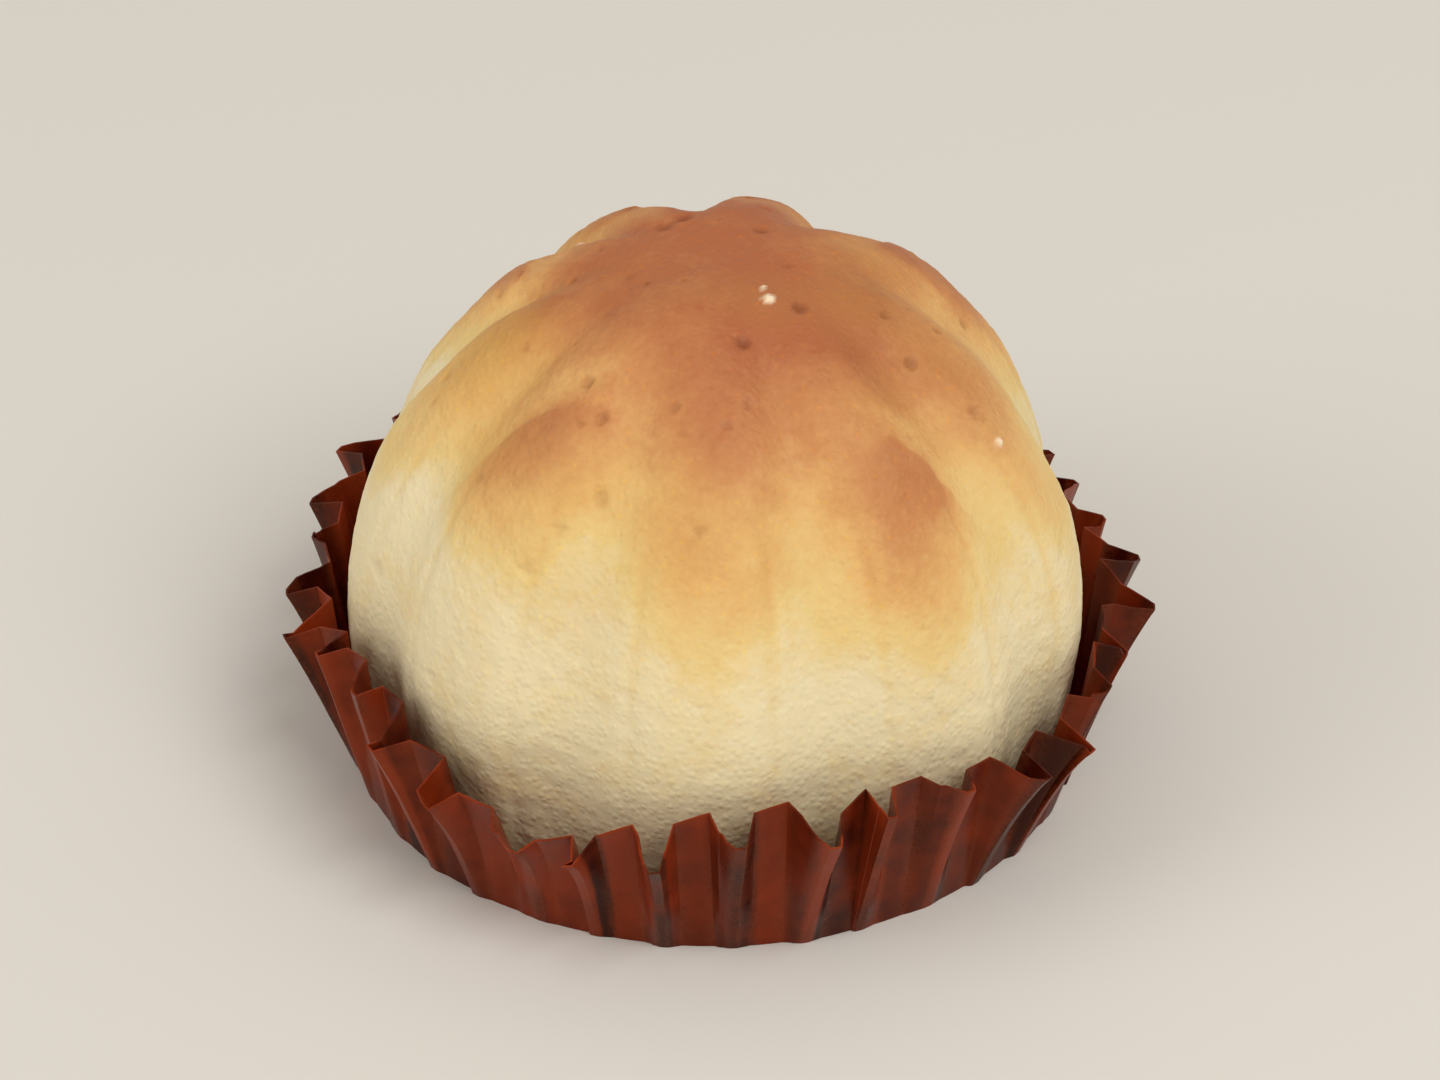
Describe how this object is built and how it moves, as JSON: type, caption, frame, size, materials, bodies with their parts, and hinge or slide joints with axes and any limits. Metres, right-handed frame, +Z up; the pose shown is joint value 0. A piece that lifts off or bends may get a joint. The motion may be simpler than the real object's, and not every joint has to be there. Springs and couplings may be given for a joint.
{
  "type": "maamoul cookie in a paper case",
  "caption": "Filled semolina cookie pressed in a fluted dome mould, browned on its crown, standing in its pleated brown paper case.",
  "frame": {"origin": "on the table under the case, at the middle of the whole part's box", "axes": "+Z up from the table through the crown of the cookie, -Y the front, with a ridge of the flutes facing it"},
  "size_m": [0.0438, 0.0442, 0.0278],
  "materials": {
    "baked_dough": "matte",
    "brown_paper": "satin"
  },
  "bodies": {
    "root": {"cookie": "baked_dough", "paper_case": "brown_paper"}
  },
  "joints": []
}
